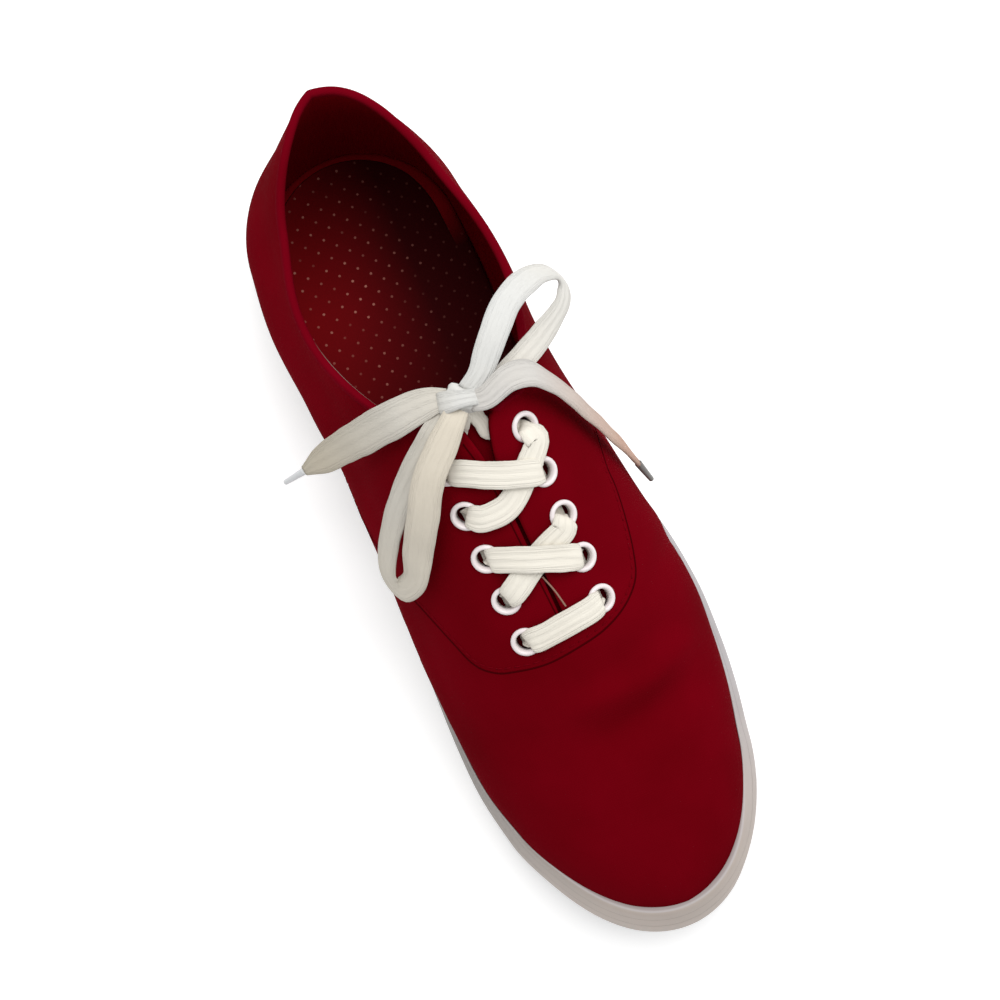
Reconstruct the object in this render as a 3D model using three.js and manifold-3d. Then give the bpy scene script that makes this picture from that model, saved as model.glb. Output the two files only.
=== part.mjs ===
// A low canvas lace-up sneaker for the right foot, standing empty on its sole.
// Millimetres, +Z up. The toe points to -Y and the big-toe side to +X.
// The origin is on the floor, under the middle of the shoe's outline.
import * as THREE from "three";
import { mergeVertices } from "three/addons/utils/BufferGeometryUtils.js";
import Module from "manifold-3d";

const wasm = await Module();
wasm.setup();

// ---------------------------------------------------------------- driving sizes
const length = 290; // heel to toe over the rubber
const ballWidth = 96;
const toeSpring = 18; // height of the toe's underside over the floor
const archRise = 0.8;

const rubber = {
  wall: 2.6, // foxing band round the upper
  height: 23,
  toeHeight: 26,
  lean: 4.4, // the band's top stands in by this much at the toe
  lowerEdge: 0.9, // the band stops this far over the tread's face
  toeLowerEdge: 2.6,
  round: 1.0,
  belly: 0.6,
  tread: 3.4,
  treadEdge: 0.8,
  footbed: 10,
};
const gap = 0.3; // between pieces that meet
const canvas = 2.0; // wall of the upper
const insoleThickness = 4;

const eyelet = {
  rows: 5,
  firstAt: 0.6145, // share of the length from the heel to the row nearest the toe
  pitch: 13.4,
  apart: 25.5, // between the two facings' rows of holes
  slant: 1.3, // the inner row stands this far nearer the top than the middle
  flange: 4.5,
  barrel: 3.5,
  hole: 2.9,
  rim: 0.8,
  chamfer: 0.4,
  dish: 0.5,
  sides: 12,
};
const lace = { width: 8.2, thickness: 1.6, overrun: 1.5 }; // a strap runs on past its eyelets by overrun

const columnsPerSide = 38; // columns round the shoe, heel to toe, on each side
const rowsUp = 10; // rows from the feather edge to the ridge
const clear = 130; // height over the whole shoe, for the blocks that cut it

// ---------------------------------------------------------------- tables
// Plan of the sole: at is the share of the length from the heel, centre and half
// are shares of the ball width.
const plan = [
  { at: 0, centre: 0, half: 0.39 },
  { at: 0.1, centre: 0.002, half: 0.396 },
  { at: 0.2, centre: 0.01, half: 0.402 },
  { at: 0.32, centre: 0.027, half: 0.382 },
  { at: 0.45, centre: 0.058, half: 0.417 },
  { at: 0.56, centre: 0.083, half: 0.475 },
  { at: 0.65, centre: 0.097, half: 0.504 },
  { at: 0.72, centre: 0.093, half: 0.505 },
  { at: 0.78, centre: 0.086, half: 0.49 },
  { at: 0.84, centre: 0.084, half: 0.454 },
  { at: 0.9, centre: 0.09, half: 0.416 },
  { at: 0.95, centre: 0.095, half: 0.403 },
  { at: 1.0, centre: 0.098, half: 0.402 },
];
const heelRound = 0.125; // share of the length in which the heel reaches its full width
const toeRound = 0.16;

// Form of the last above the feather edge, in columns that run from the feather edge up to a
// ridge. turn is the angle round the shoe (0 heel, 180 toe). The ridge stands at the share at
// of the length, across from the heel's centre line and at the height rise. side and reach
// are the handles of a column's curve: up from the feather edge as a share of the height, and
// level from the ridge in mm. bulge pushes the wall out, and swell adds to it over the rubber's
// top on the outer side.
const last = [
  { turn: 0, at: 0.08, across: 8, rise: 98, side: 0.58, reach: 22, bulge: 3, swell: 0 },
  { turn: 20, at: 0.092, across: 8, rise: 98, side: 0.57, reach: 10.5, bulge: 3.5, swell: 1.5 },
  { turn: 40, at: 0.14, across: 7.5, rise: 99, side: 0.57, reach: 6.5, bulge: 6, swell: 3.2 },
  { turn: 60, at: 0.24, across: 7.5, rise: 103, side: 0.6, reach: 17, bulge: 11, swell: 4.2 },
  { turn: 75, at: 0.335, across: 7, rise: 101, side: 0.6, reach: 15.5, bulge: 11, swell: 3.2 },
  { turn: 84, at: 0.395, across: 5.6, rise: 96.8, side: 0.6, reach: 20.5, bulge: 11, swell: 2.2 },
  { turn: 92, at: 0.45, across: 5.5, rise: 89.8, side: 0.59, reach: 23.5, bulge: 10, swell: 1.8 },
  { turn: 100, at: 0.51, across: 6.1, rise: 82.6, side: 0.58, reach: 25, bulge: 9, swell: 1.6 },
  { turn: 108, at: 0.57, across: 6.9, rise: 76.4, side: 0.57, reach: 27, bulge: 8, swell: 1.6 },
  { turn: 116, at: 0.63, across: 7.5, rise: 70.6, side: 0.56, reach: 28, bulge: 7, swell: 1 },
  { turn: 124, at: 0.69, across: 8, rise: 64.4, side: 0.56, reach: 27, bulge: 6, swell: 0.5 },
  { turn: 132, at: 0.745, across: 8.5, rise: 60, side: 0.56, reach: 26, bulge: 5, swell: 0 },
  { turn: 141, at: 0.795, across: 8.8, rise: 57, side: 0.57, reach: 25, bulge: 4, swell: 0 },
  { turn: 150, at: 0.835, across: 8.9, rise: 54.6, side: 0.58, reach: 23, bulge: 3, swell: 0 },
  { turn: 160, at: 0.865, across: 9.1, rise: 52.4, side: 0.6, reach: 20, bulge: 2, swell: 0 },
  { turn: 170, at: 0.883, across: 9.4, rise: 51, side: 0.62, reach: 17, bulge: 1, swell: 0 },
  { turn: 180, at: 0.89, across: 9.5, rise: 50.4, side: 0.62, reach: 16, bulge: 1, swell: 0 },
];

// Side view of the collar's edge, from behind the heel to the top of the throat.
const collar = [
  { at: -0.03, rise: 77.4 },
  { at: 0.02, rise: 76.6 },
  { at: 0.06, rise: 73.6 },
  { at: 0.11, rise: 69 },
  { at: 0.16, rise: 66.2 },
  { at: 0.2, rise: 65.6 },
  { at: 0.25, rise: 67.8 },
  { at: 0.3, rise: 73.4 },
  { at: 0.338, rise: 80 },
  { at: 0.372, rise: 87.6 },
  { at: 0.39, rise: 92.8 },
  { at: 0.402, rise: 98 },
];
const collarRoll = 0.035; // the outer ankle side is lower, as a slope across

// Half width of the throat's slit in plan, from its closed end to the facings' corners.
const throat = [
  { at: 0.622, half: 0.6 },
  { at: 0.606, half: 0.6 },
  { at: 0.47, half: 0.7 },
  { at: 0.44, half: 1.5 },
  { at: 0.42, half: 2.9 },
  { at: 0.408, half: 4.2 },
  { at: 0.4, half: 6.2 },
  { at: 0.396, half: 9 },
  { at: 0.394, half: 15 },
];

const throatEnd = 0.36; // beyond the corners, where the collar's edge has taken over

// ---------------------------------------------------------------- working functions
// A smooth curve through the rows' values in one column, against another column.
function smooth(rows, by, column, x) {
  const last = rows.length - 1;
  const clamped = Math.min(Math.max(x, rows[0][by]), rows[last][by]);
  let i = 0;
  while (i < last - 1 && clamped > rows[i + 1][by]) i++;
  const slope = (k) => {
    const a = rows[Math.max(k - 1, 0)];
    const b = rows[Math.min(k + 1, last)];
    return (b[column] - a[column]) / (b[by] - a[by]);
  };
  const step = rows[i + 1][by] - rows[i][by];
  const t = (clamped - rows[i][by]) / step;
  const rest = 1 - t;
  return (
    rest * rest * (1 + 2 * t) * rows[i][column] +
    t * rest * rest * step * slope(i) +
    t * t * (3 - 2 * t) * rows[i + 1][column] -
    t * t * rest * step * slope(i + 1)
  );
}

function ease(x, from, to) {
  return THREE.MathUtils.smoothstep(x, from, to);
}

// Rises from 0 at an end of the sole to 1 where the plan has its full width.
function roundEnd(share, reach) {
  const left = 1 - Math.min(share / reach, 1);
  return Math.sqrt(Math.max(0, 1 - left * left));
}

const centreLine = (at) => smooth(plan, "at", "centre", at) * ballWidth;

function halfWidth(at) {
  const ends = roundEnd(at, heelRound) * roundEnd(1 - at, toeRound);
  return smooth(plan, "at", "half", at) * ballWidth * ends;
}

const shareAtTurn = (turn) => (1 - Math.cos(THREE.MathUtils.degToRad(turn))) / 2;

// Underside of the shoe: a shallow arch, then the toe spring.
// Between them the forefoot is flat.
const arch = { from: 0.3, to: 0.58 };
const springFrom = 0.625;
const springCurve = 2.1;
const treadRise = (at) => {
  const middle = (at - arch.from) / (arch.to - arch.from);
  const hollow = middle > 0 && middle < 1 ? Math.sin(Math.PI * middle) ** 2 : 0;
  const toe = Math.max(0, (at - springFrom) / (1 - springFrom));
  return archRise * hollow + toeSpring * toe ** springCurve;
};

function treadSlope(at) {
  const step = 0.01; // share of the length
  const before = Math.max(at - step, 0);
  const after = Math.min(at + step, 1);
  return Math.atan2(treadRise(after) - treadRise(before), (after - before) * length);
}

// Plan outline of the rubber at a turn, moved in by inset. side is 1 on the big-toe side.
function outline(turn, side, inset = 0) {
  const plain = (angle) => {
    const mirrored = angle < 0 || angle > 180;
    const folded = angle < 0 ? -angle : angle > 180 ? 360 - angle : angle;
    const at = shareAtTurn(folded);
    const half = halfWidth(at) * (mirrored ? -1 : 1);
    return new THREE.Vector2(centreLine(at) + side * half, at * length);
  };
  const here = plain(turn);
  const along = plain(turn + 1).sub(plain(turn - 1)).normalize();
  return new THREE.Vector2(here.x - side * along.y * inset, here.y + side * along.x * inset);
}

const turns = Array.from({ length: 181 }, (_, turn) => turn);
const widest = (side) => Math.max(...turns.map((turn) => side * outline(turn, side).x));
const middleX = (widest(1) - widest(-1)) / 2;

// A point of the finished shoe from x across, the distance from the heel and the height.
const place = (x, fromHeel, z) => new THREE.Vector3(x - middleX, length / 2 - fromHeel, z);

// A plan point carried up square to the tread by height.
function lift(p, height) {
  const at = THREE.MathUtils.clamp(p.y / length, 0, 1);
  const slope = treadSlope(at);
  return place(p.x, p.y - height * Math.sin(slope), treadRise(at) + height * Math.cos(slope));
}

const columns = Array.from({ length: 2 * columnsPerSide }, (_, i) => {
  const turn = (i * 180) / columnsPerSide;
  return turn <= 180 ? { turn, side: 1 } : { turn: 360 - turn, side: -1 };
});

const [leanFrom, leanTo] = [0.46, 0.72]; // shares of the length between which the lean grows
const toeShare = (turn) => ease(shareAtTurn(turn), 0.78, 0.96);
const bandTop = (turn) => THREE.MathUtils.lerp(rubber.height, rubber.toeHeight, toeShare(turn));
const leanAt = (turn) => rubber.lean * ease(shareAtTurn(turn), leanFrom, leanTo);
const bandFoot = (turn) => THREE.MathUtils.lerp(rubber.lowerEdge, rubber.toeLowerEdge, toeShare(turn));

// ---------------------------------------------------------------- the upper's form
const swellFrom = 0.02; // shares of a column between which the outer side swells
const swellTo = 0.36;
const upperInset = (turn) => rubber.wall + gap + leanAt(turn) * (rubber.footbed / rubber.height);

// The curve of the upper's outer face from the feather edge up to the ridge at a turn, with
// the direction and size of its swelling.
function section(turn, side) {
  const row = (column) => smooth(last, "turn", column, turn);
  const foot = lift(outline(turn, side, upperInset(turn)), rubber.footbed + gap);
  const outer = lift(outline(turn, side, upperInset(turn) - 1), rubber.footbed + gap);
  const top = place(row("across"), row("at") * length, row("rise"));
  const slope = treadSlope(shareAtTurn(turn));
  const up = new THREE.Vector3(0, Math.sin(slope), Math.cos(slope));
  const out = outer.sub(foot).normalize();
  const away = new THREE.Vector3(foot.x - top.x, foot.y - top.y, 0).normalize();
  const ridge = (t) => place(0, smooth(last, "turn", "at", t) * length, smooth(last, "turn", "rise", t));
  const along = ridge(Math.min(turn + 2, 180)).sub(ridge(Math.max(turn - 2, 0)));
  away.z = away.y * (along.z / along.y);
  const curve = new THREE.CubicBezierCurve3(
    foot,
    foot.clone().addScaledVector(up, (top.z - foot.z) * row("side")).addScaledVector(out, row("bulge")),
    top.clone().addScaledVector(away, row("reach")),
    top,
  );
  return { curve, out, swell: side < 0 ? row("swell") : 0 };
}

function pointOn({ curve, out, swell }, t) {
  const share = THREE.MathUtils.clamp((t - swellFrom) / (swellTo - swellFrom), 0, 1);
  return curve.getPoint(t).addScaledVector(out, swell * Math.sin(Math.PI * share) ** 2);
}

const sections = columns.map(({ turn, side }) => section(turn, side));

const loop = (i) => (i + columns.length) % columns.length;

// Rings of the upper's outer form, from the feather edge up to the top line.
const rings = Array.from({ length: rowsUp + 1 }, (_, k) =>
  sections.map((part) => pointOn(part, k / rowsUp)),
);

// Outward directions at the rings' points, shared where the two sides meet on the vamp's ridge.
const spot = (p) => p.toArray().map((v) => Math.round(v * 1e3)).join();
const outward = new Map();
for (let k = 0; k < rowsUp; k++) {
  for (let i = 0; i < columns.length; i++) {
    const corners = [rings[k][i], rings[k + 1][i], rings[k + 1][loop(i + 1)], rings[k][loop(i + 1)]];
    const across = corners[2].clone().sub(corners[0]);
    const other = corners[3].clone().sub(corners[1]);
    const normal = across.cross(other).normalize();
    for (const p of corners) {
      if (!outward.has(spot(p))) outward.set(spot(p), new THREE.Vector3());
      outward.get(spot(p)).add(normal);
    }
  }
}

// The upper's form moved out by a distance, or in where it is negative.
const form = (distance) =>
  rings.map((ring) =>
    ring.map((p) => p.clone().addScaledVector(outward.get(spot(p)).clone().normalize(), distance)),
  );

// ---------------------------------------------------------------- mesh helpers

// Faces for a quadrilateral whose corners run counter-clockwise seen from outside.
const quad = (a, b, c, d) => [a, b, c, a, c, d];

function geometryOf(points) {
  const geometry = mergeVertices(new THREE.BufferGeometry().setFromPoints(points), 1e-4);
  const index = Array.from(geometry.index.array);
  const kept = [];
  for (let f = 0; f < index.length; f += 3) {
    const [a, b, c] = index.slice(f, f + 3);
    if (a !== b && b !== c && c !== a) kept.push(a, b, c);
  }
  return geometry.setIndex(kept);
}

// A closed body from rings that run once round the shoe, with a lid over the first and last.
function ringedBody(levels) {
  const points = [];
  const half = columns.length / 2;
  for (let i = 0; i < half; i++) {
    const lid = (ring) => [ring[i], ring[i + 1], ring[loop(-i - 1)], ring[loop(-i)]];
    points.push(...quad(...lid(levels[0])));
    points.push(...quad(...lid(levels.at(-1)).reverse()));
  }
  for (let k = 0; k + 1 < levels.length; k++) {
    const [low, high] = [levels[k], levels[k + 1]];
    for (let i = 0; i < columns.length; i++) {
      points.push(...quad(low[i], high[i], high[loop(i + 1)], low[loop(i + 1)]));
    }
  }
  return geometryOf(points);
}

function solidOf(geometry) {
  return new wasm.Manifold(
    new wasm.Mesh({
      numProp: 3,
      vertProperties: new Float32Array(geometry.getAttribute("position").array),
      triVerts: new Uint32Array(geometry.index.array),
    }),
  );
}

function geometryFrom(solid) {
  const mesh = solid.getMesh();
  return new THREE.BufferGeometry()
    .setAttribute("position", new THREE.BufferAttribute(mesh.vertProperties, 3))
    .setIndex(new THREE.BufferAttribute(mesh.triVerts, 1));
}

// ---------------------------------------------------------------- finishes
const finish = (colour, roughness) =>
  new THREE.MeshStandardMaterial({ color: colour, roughness, metalness: 0, flatShading: true });
const finishes = {
  canvas: finish(0x7a0012, 0.9),
  lining: finish(0x4a0409, 0.9),
  rubber: finish(0xc9c9d2, 0.6),
  tread: finish(0x17171a, 0.8),
  eyelet: finish(0xf1ecea, 0.35),
  lace: finish(0xe6e3da, 0.85),
};

const shoe = new THREE.Group();
function add(name, geometry, material) {
  const mesh = new THREE.Mesh(geometry, material);
  mesh.name = name;
  shoe.add(mesh);
  return mesh;
}

// ---------------------------------------------------------------- sole
const ringAt = (inset, height) =>
  columns.map(({ turn, side }) => {
    const value = (size) => (typeof size === "function" ? size(turn) : size);
    return lift(outline(turn, side, value(inset)), value(height));
  });

const treadInset = rubber.wall + gap;
function makeMidsole() {
  const block = ringedBody([
    ringAt(treadInset - gap, rubber.tread + gap),
    ringAt(treadInset - gap, bandFoot),
    ringAt(rubber.round, bandFoot),
    ringAt(0, (turn) => bandFoot(turn) + rubber.round),
    ringAt((turn) => 0.4 * leanAt(turn) - rubber.belly, (turn) => bandTop(turn) * 0.42),
    ringAt(leanAt, (turn) => bandTop(turn) - rubber.round),
    ringAt((turn) => leanAt(turn) + rubber.round * 0.8, bandTop),
  ]);
  return geometryFrom(solidOf(block).subtract(lastBody(gap, gap)));
}

function makeTread() {
  return ringedBody([
    ringAt(treadInset + rubber.treadEdge, 0),
    ringAt(treadInset, rubber.treadEdge),
    ringAt(treadInset, rubber.tread),
  ]);
}

add("outsole", makeTread(), finishes.tread);
add("midsole", makeMidsole(), finishes.rubber);

// ---------------------------------------------------------------- upper
// Closed body of the last's form moved out by a distance, standing on a flat lid that reaches
// below the feather edge by drop.
function lastBody(distance, drop) {
  const walls = form(distance);
  const floorRing = walls[0].map((p) => new THREE.Vector3(p.x, p.y, p.z - drop));
  return solidOf(ringedBody([floorRing, ...walls]));
}

const layer = (outer, inner) => lastBody(outer, 0).subtract(lastBody(inner, 1));

// A geometry's plain closed mesh, without normals and texture places.
function bare(geometry) {
  geometry.deleteAttribute("normal");
  geometry.deleteAttribute("uv");
  return mergeVertices(geometry, 1e-4);
}

function extruded(shape, depth, matrix) {
  const geometry = new THREE.ExtrudeGeometry(shape, { depth, bevelEnabled: false });
  return solidOf(bare(geometry.applyMatrix4(matrix)));
}

// A shape drawn across and from the heel, made a tall block over the whole shoe.
function planBlock(points) {
  const corners = points.map(([x, at]) => new THREE.Vector2(x - middleX, length / 2 - at * length));
  return extruded(new THREE.Shape(corners), clear, new THREE.Matrix4());
}

function collarBlock() {
  const steps = 40;
  const [from, to] = [collar[0].at, collar.at(-1).at];
  const shape = new THREE.Shape();
  shape.moveTo(from * length, clear);
  for (let i = 0; i <= steps; i++) {
    const at = from + ((to - from) * i) / steps;
    shape.lineTo(at * length, smooth(collar, "at", "rise", at));
  }
  shape.lineTo(to * length, clear);
  const sideView = new THREE.Matrix4().makeBasis(
    new THREE.Vector3(0, -1, 0),
    new THREE.Vector3(0, 0, 1),
    new THREE.Vector3(-1, 0, 0),
  );
  sideView.setPosition(ballWidth, length / 2, 0);
  const rolled = new THREE.Matrix4().makeRotationY(-collarRoll).multiply(sideView);
  return extruded(shape, 2 * ballWidth, rolled);
}

const ridgeAcross = (at) => smooth(last, "at", "across", at);

function throatBlock() {
  const edge = (side) => throat.map(({ at, half }) => [ridgeAcross(at) + side * half, at]);
  const top = throat.at(-1);
  const end = [1, -1].map((side) => [ridgeAcross(top.at) + side * top.half, throatEnd]);
  return planBlock([...edge(1), ...end, ...edge(-1).reverse()]);
}

// Eyelet centres: number from the toe, side 1 towards the big toe.
const eyelets = [];
for (let row = 0; row < eyelet.rows; row++) {
  for (const side of [1, -1]) {
    const at = eyelet.firstAt - (row * eyelet.pitch + side * eyelet.slant) / length;
    eyelets.push({ row: row + 1, side, at, x: ridgeAcross(at) + (side * eyelet.apart) / 2 });
  }
}

// The point and the outward direction of the upper's face over a spot of the plan.
const facets = [];
for (let k = rowsUp / 2; k < rowsUp; k++) {
  for (let i = 0; i < columns.length; i++) {
    const j = loop(i + 1);
    facets.push(new THREE.Triangle(rings[k][i], rings[k + 1][i], rings[k + 1][j]));
    facets.push(new THREE.Triangle(rings[k][i], rings[k + 1][j], rings[k][j]));
  }
}
function onUpper(x, at) {
  const ray = new THREE.Ray(place(x, at * length, clear), new THREE.Vector3(0, 0, -1));
  for (const facet of facets) {
    const point = ray.intersectTriangle(facet.a, facet.b, facet.c, false, new THREE.Vector3());
    if (point) return { point, normal: facet.getNormal(new THREE.Vector3()) };
  }
  throw new Error("no face of the upper at " + x + ", " + at);
}

// A profile of radius and height turned about the direction facing, standing at a point.
function turned(profile, sides, point, facing) {
  const geometry = new THREE.LatheGeometry(profile.map(([r, h]) => new THREE.Vector2(r, h)), sides);
  geometry.applyQuaternion(new THREE.Quaternion().setFromUnitVectors(new THREE.Vector3(0, 1, 0), facing));
  geometry.translate(point.x, point.y, point.z);
  return bare(geometry);
}

function turnedAt(profile, { x, at }) {
  const { point, normal } = onUpper(x, at);
  return turned(profile, eyelet.sides, point, normal.z < 0 ? normal.negate() : normal);
}

const punch = { below: 6, above: 4 }; // reach of the eyelets' holes through the wall
const holeProfile = [
  [0, -punch.below],
  [eyelet.barrel + gap, -punch.below],
  [eyelet.barrel + gap, punch.above],
  [0, punch.above],
];
const eyeletProfile = [
  [eyelet.hole, -canvas],
  [eyelet.barrel, -canvas],
  [eyelet.barrel, gap],
  [eyelet.flange, gap],
  [eyelet.flange - eyelet.chamfer, gap + eyelet.rim],
  [eyelet.hole + eyelet.dish, gap + eyelet.rim],
  [eyelet.hole, -canvas],
];

function makeUpper() {
  let upper = layer(0, -canvas).subtract(collarBlock()).subtract(throatBlock());
  for (const spot of eyelets) upper = upper.subtract(solidOf(turnedAt(holeProfile, spot)));
  return geometryFrom(upper);
}

// Insole: everything inside the upper up to its own thickness.
function makeInsole() {
  const above = rubber.footbed + gap + insoleThickness;
  const cover = solidOf(ringedBody([ringAt(-2 * canvas, above), ringAt(-2 * canvas, clear)]));
  return geometryFrom(lastBody(-canvas - gap, 0).subtract(cover));
}

// Tongue: a strip under the facings, from the closed end of the throat to the top eyelets.
const tongue = { under: 2.4, thickness: 1.6, from: 0.645, to: 0.402, half: 19, topHalf: 25 };
function makeTongue() {
  const outer = -canvas - tongue.under;
  const strip = layer(outer, outer - tongue.thickness);
  const outlinePoints = [];
  const steps = 6;
  for (let i = 0; i <= steps; i++) {
    const at = tongue.from + ((tongue.to - tongue.from) * i) / steps;
    const half = THREE.MathUtils.lerp(tongue.half, tongue.topHalf, i / steps);
    outlinePoints.push([at, half]);
  }
  const edge = (side) => outlinePoints.map(([at, half]) => [ridgeAcross(at) + side * half, at]);
  const cut = strip.intersect(planBlock([...edge(1), ...edge(-1).reverse()]));
  const pieces = cut.decompose().sort((a, b) => b.volume() - a.volume());
  return geometryFrom(pieces[0]);
}

add("upper", makeUpper(), finishes.canvas);
add("insole", makeInsole(), finishes.lining);
add("tongue", makeTongue(), finishes.canvas);
for (const spot of eyelets) {
  const side = spot.side > 0 ? "inner" : "outer";
  add("eyelet_" + side + "_" + spot.row, turnedAt(eyeletProfile, spot), finishes.eyelet);
}

// ---------------------------------------------------------------- laces
// A strap over the facings between two spots of the plan, lying clear of the eyelets.
const laceUnder = 3 * gap + eyelet.rim + gap;
const laceLayer = layer(laceUnder + lace.thickness, laceUnder);
function strap(from, to) {
  const a = new THREE.Vector2(from.x, from.at * length);
  const b = new THREE.Vector2(to.x, to.at * length);
  const along = b.clone().sub(a).normalize();
  const across = new THREE.Vector2(-along.y, along.x).multiplyScalar(lace.width / 2);
  const corner = (p, end, side) => {
    const q = p.clone().addScaledVector(along, end * lace.overrun).addScaledVector(across, side);
    return [q.x, q.y / length];
  };
  return planBlock([corner(a, -1, 1), corner(a, -1, -1), corner(b, 1, -1), corner(b, 1, 1)]);
}
const eyeletAt = (row, side) => eyelets.find((spot) => spot.row === row && spot.side === side);
function laceOver(straps) {
  const blocks = straps.map(([outerRow, innerRow]) => strap(eyeletAt(outerRow, -1), eyeletAt(innerRow, 1)));
  const whole = blocks.reduce((sum, block) => sum.add(block));
  const pieces = laceLayer.intersect(whole).decompose().sort((a, b) => b.volume() - a.volume());
  return geometryFrom(pieces[0]);
}
add("lace_bar", laceOver([[1, 1]]), finishes.lace);
add("lace_cross_lower", laceOver([[2, 3], [3, 2]]), finishes.lace);
add("lace_cross_upper", laceOver([[4, 5], [5, 4]]), finishes.lace);

// ---------------------------------------------------------------- bow
// Routes of the bow's loops and ends: points across, along and up, from the knot outwards.
const knotAt = new THREE.Vector3(-5.4, 34.8, 98);
const knotSize = { across: 6, along: 5, up: 4 }; // half sizes
const routes = {
  lace_loop_inner: [
    [3.2, 39, 99.5],
    [10, 47, 102],
    [18, 54.8, 99],
    [27.3, 59.8, 91],
    [34.8, 60.6, 83],
    [37.2, 56.8, 79],
    [34.4, 51.2, 80],
    [24.9, 44.4, 86.5],
    [14.5, 38.8, 93],
    [5.4, 34.6, 96.5],
  ],
  lace_end_inner: [
    [1.5, 31.6, 100.6],
    [9.1, 34.6, 101.2],
    [15.5, 34, 98],
    [20.5, 30.3, 91],
    [25.1, 25.2, 83],
    [29, 19.8, 75.5],
    [33.2, 13.7, 67.5],
    [37.6, 6.9, 58.5],
    [40.8, 0.9, 50.5],
  ],
  lace_loop_outer: [
    [-12.8, 31.2, 97.4],
    [-17.4, 27.6, 96.4],
    [-25.6, 22, 90.5],
    [-33.8, 14.8, 81.5],
    [-40.6, 6.6, 71.5],
    [-43.8, 0, 65.5],
    [-42, -5.6, 65.5],
    [-37.1, -4.9, 72],
    [-33, 1.6, 79.6],
    [-27.8, 9.4, 88.4],
    [-21.6, 18.6, 95.6],
    [-11.6, 28, 100],
  ],
  lace_end_outer: [
    [-12.8, 37.6, 98.4],
    [-17.6, 37.8, 97],
    [-23, 37.8, 94.4],
    [-28.4, 38, 90],
    [-34.8, 38.3, 82.8],
    [-41.4, 38.8, 74.4],
    [-47.9, 39, 67],
    [-54.4, 39.1, 60],
  ],
};
const cord = { radius: 1.6, sides: 6, step: 5 };

function cordAlong(points) {
  const path = new THREE.CatmullRomCurve3(points.map((p) => new THREE.Vector3(...p)), false, "centripetal");
  const ring = new THREE.Shape(
    Array.from({ length: cord.sides }, (_, i) => {
      const angle = (i * 2 * Math.PI) / cord.sides;
      return new THREE.Vector2(Math.cos(angle), Math.sin(angle)).multiplyScalar(cord.radius);
    }),
  );
  const steps = Math.round(path.getLength() / cord.step);
  return bare(new THREE.ExtrudeGeometry(ring, { steps, extrudePath: path }));
}

function makeKnot() {
  const geometry = new THREE.SphereGeometry(1, 14, 10);
  geometry.scale(knotSize.across, knotSize.along, knotSize.up);
  geometry.translate(knotAt.x, knotAt.y, knotAt.z);
  return bare(geometry);
}

// The hard tip at the end of a route, standing on in its direction.
const tip = { radius: 1.2, length: 11, mouth: 0.4, taper: 1, sides: 10 };
function makeTip(points) {
  const end = new THREE.Vector3(...points.at(-1));
  const ahead = end.clone().sub(new THREE.Vector3(...points.at(-2))).normalize();
  const profile = [
    [0, gap],
    [tip.radius, gap],
    [tip.radius, tip.length - tip.taper],
    [tip.radius - tip.mouth, tip.length],
    [0, tip.length],
  ];
  return turned(profile, tip.sides, end, ahead);
}

add("lace_knot", makeKnot(), finishes.lace);
for (const [name, points] of Object.entries(routes)) add(name, cordAlong(points), finishes.lace);
add("lace_tip_inner", makeTip(routes.lace_end_inner), finishes.lace);
add("lace_tip_outer", makeTip(routes.lace_end_outer), finishes.lace);

export default shoe;
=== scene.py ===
# A canvas lace-up sneaker for the right foot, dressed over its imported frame.
# Shapes are worked out in millimetres and made in metres. The toe points to -Y, the big toe to +X.
import math

import bmesh
import bpy
from mathutils import Matrix, Vector, noise
from mathutils.bvhtree import BVHTree


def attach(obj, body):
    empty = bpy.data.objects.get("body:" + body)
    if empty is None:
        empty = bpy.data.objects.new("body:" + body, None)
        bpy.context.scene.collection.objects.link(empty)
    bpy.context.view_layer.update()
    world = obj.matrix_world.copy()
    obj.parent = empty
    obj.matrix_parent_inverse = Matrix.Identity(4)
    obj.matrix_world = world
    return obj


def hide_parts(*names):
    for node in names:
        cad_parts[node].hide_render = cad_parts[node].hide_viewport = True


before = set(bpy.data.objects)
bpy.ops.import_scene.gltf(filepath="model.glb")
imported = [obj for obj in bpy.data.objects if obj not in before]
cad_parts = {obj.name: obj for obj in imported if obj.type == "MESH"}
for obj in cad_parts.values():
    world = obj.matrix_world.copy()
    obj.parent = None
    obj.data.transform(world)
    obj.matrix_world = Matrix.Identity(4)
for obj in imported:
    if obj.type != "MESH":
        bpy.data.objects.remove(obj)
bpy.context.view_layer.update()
mm = 0.001

# Camera, nearly straight above.
view = {"at": (-0.02725, -0.01257, 0.44229), "aim": (-0.0034, 0.0077, 0.05),
        "up": (0.402, 0.913, 0.072), "lens": 45.5}
camera = bpy.data.objects.new("camera", bpy.data.cameras.new("camera"))
bpy.context.scene.collection.objects.link(camera)
bpy.context.scene.camera = camera
camera.data.lens = view["lens"]
camera.data.clip_start = 0.01
sight = (Vector(view["at"]) - Vector(view["aim"])).normalized()
rightward = Vector(view["up"]).cross(sight).normalized()
turned = Matrix((rightward, sight.cross(rightward), sight)).transposed()
camera.matrix_world = Matrix.Translation(view["at"]) @ turned.to_4x4()
print("camera made")

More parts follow.
